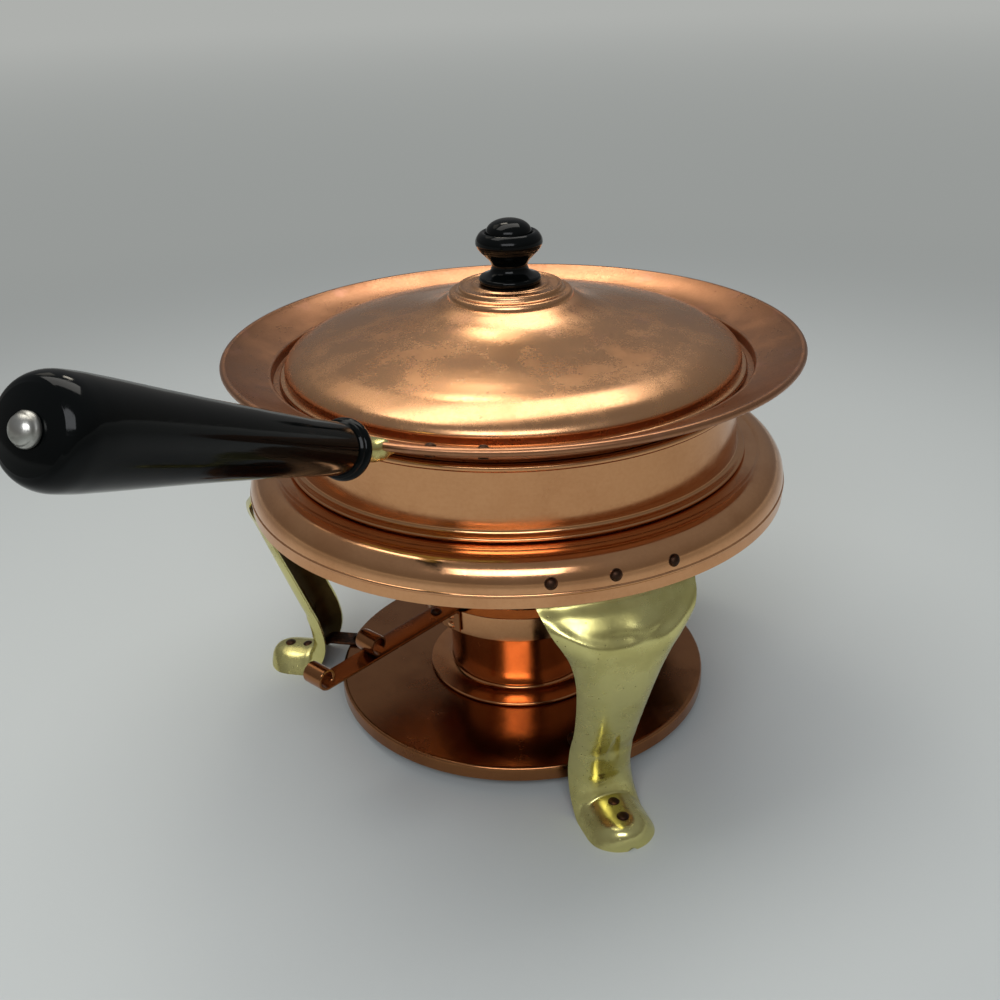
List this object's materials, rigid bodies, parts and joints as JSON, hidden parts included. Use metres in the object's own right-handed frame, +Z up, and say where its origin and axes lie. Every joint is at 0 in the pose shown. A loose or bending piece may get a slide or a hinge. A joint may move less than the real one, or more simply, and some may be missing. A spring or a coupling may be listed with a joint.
{
  "type": "chafing dish",
  "caption": "Round copper chafing dish on three cabriole legs, with a spirit burner, a water pan, a long-handled food pan and a lift-off domed lid.",
  "frame": {"origin": "centre of the food pan's floor, on the upright axis that the tray, pans, lid and knob share; the feet stand 155.1 mm below it", "axes": "+Z up, out of the pan's floor; the front, with the long handle to the left, faces -Y; +X is to the right seen from the front; Y is the longest extent because the handle runs out towards -Y"},
  "size_m": [0.3118, 0.4562, 0.3046],
  "materials": {
    "copper_polished": null,
    "copper_satin": null,
    "cast_brass": "satin brass with greenish tarnish",
    "dark_bronze": "dark oxidised bronze",
    "black_phenolic": "glossy black phenolic resin",
    "steel_fittings": "plain steel",
    "wick_wool": "matted fibre"
  },
  "bodies": {
    "stand": {"stand_ring": "copper_polished", "burner_tray": "copper_satin", "leg_front": "cast_brass", "leg_left": "cast_brass", "leg_back": "cast_brass", "tray_arm_front": "dark_bronze", "tray_arm_left": "dark_bronze", "tray_arm_back": "dark_bronze", "ring_rivet_front_1": "dark_bronze", "ring_rivet_front_2": "dark_bronze", "ring_rivet_front_3": "dark_bronze", "ring_rivet_left_1": "dark_bronze", "ring_rivet_left_2": "dark_bronze", "ring_rivet_left_3": "dark_bronze", "ring_rivet_back_1": "dark_bronze", "ring_rivet_back_2": "dark_bronze", "ring_rivet_back_3": "dark_bronze", "foot_rivet_front_1": "dark_bronze", "foot_rivet_front_2": "dark_bronze", "foot_rivet_left_1": "dark_bronze", "foot_rivet_left_2": "dark_bronze", "foot_rivet_back_1": "dark_bronze", "foot_rivet_back_2": "dark_bronze", "tray_rivet_front_1": "dark_bronze", "tray_rivet_front_2": "dark_bronze", "tray_rivet_left_1": "dark_bronze", "tray_rivet_left_2": "dark_bronze", "tray_rivet_back_1": "dark_bronze", "tray_rivet_back_2": "dark_bronze"},
    "water_pan": {"water_pan": "copper_polished"},
    "food_pan": {"food_pan": "copper_satin", "handle_bracket": "cast_brass", "handle_grip": "black_phenolic", "handle_rod": "steel_fittings", "handle_nut": "steel_fittings", "bracket_rivet_1": "dark_bronze", "bracket_rivet_2": "dark_bronze", "bracket_rivet_3": "dark_bronze", "bracket_rivet_4": "dark_bronze"},
    "lid": {"lid": "copper_satin", "knob": "black_phenolic", "knob_washer": "steel_fittings", "knob_screw": "steel_fittings"},
    "burner": {"burner_cup": "copper_polished", "burner_foot": "copper_polished", "burner_gallery": "copper_polished", "burner_wool": "wick_wool", "burner_gauze": "steel_fittings", "burner_strap": "copper_polished", "strap_rivet_1": "dark_bronze", "strap_rivet_2": "dark_bronze", "snuffer_pivot": "dark_bronze"},
    "snuffer": {"snuffer_disc": "copper_polished", "snuffer_strap": "copper_polished", "snuffer_rivet": "dark_bronze"}
  },
  "joints": [
    {"name": "water_pan_lift", "type": "slide", "parent": "stand", "child": "water_pan", "axis": [0, 0, 1], "range_m": [0, 0.08]},
    {"name": "food_pan_lift", "type": "slide", "parent": "water_pan", "child": "food_pan", "axis": [0, 0, 1], "range_m": [0, 0.08]},
    {"name": "lid_lift", "type": "slide", "parent": "food_pan", "child": "lid", "axis": [0, 0, 1], "range_m": [0, 0.08]},
    {"name": "burner_slide", "type": "slide", "parent": "stand", "child": "burner", "axis": [-0.6626, -0.749, 0], "range_m": [0, 0.2]},
    {"name": "snuffer_swing", "type": "hinge", "parent": "burner", "child": "snuffer", "pos_m": [-0.04572, -0.05168, -0.0761], "axis": [0, 0, 1], "range_deg": [0, 75]}
  ]
}
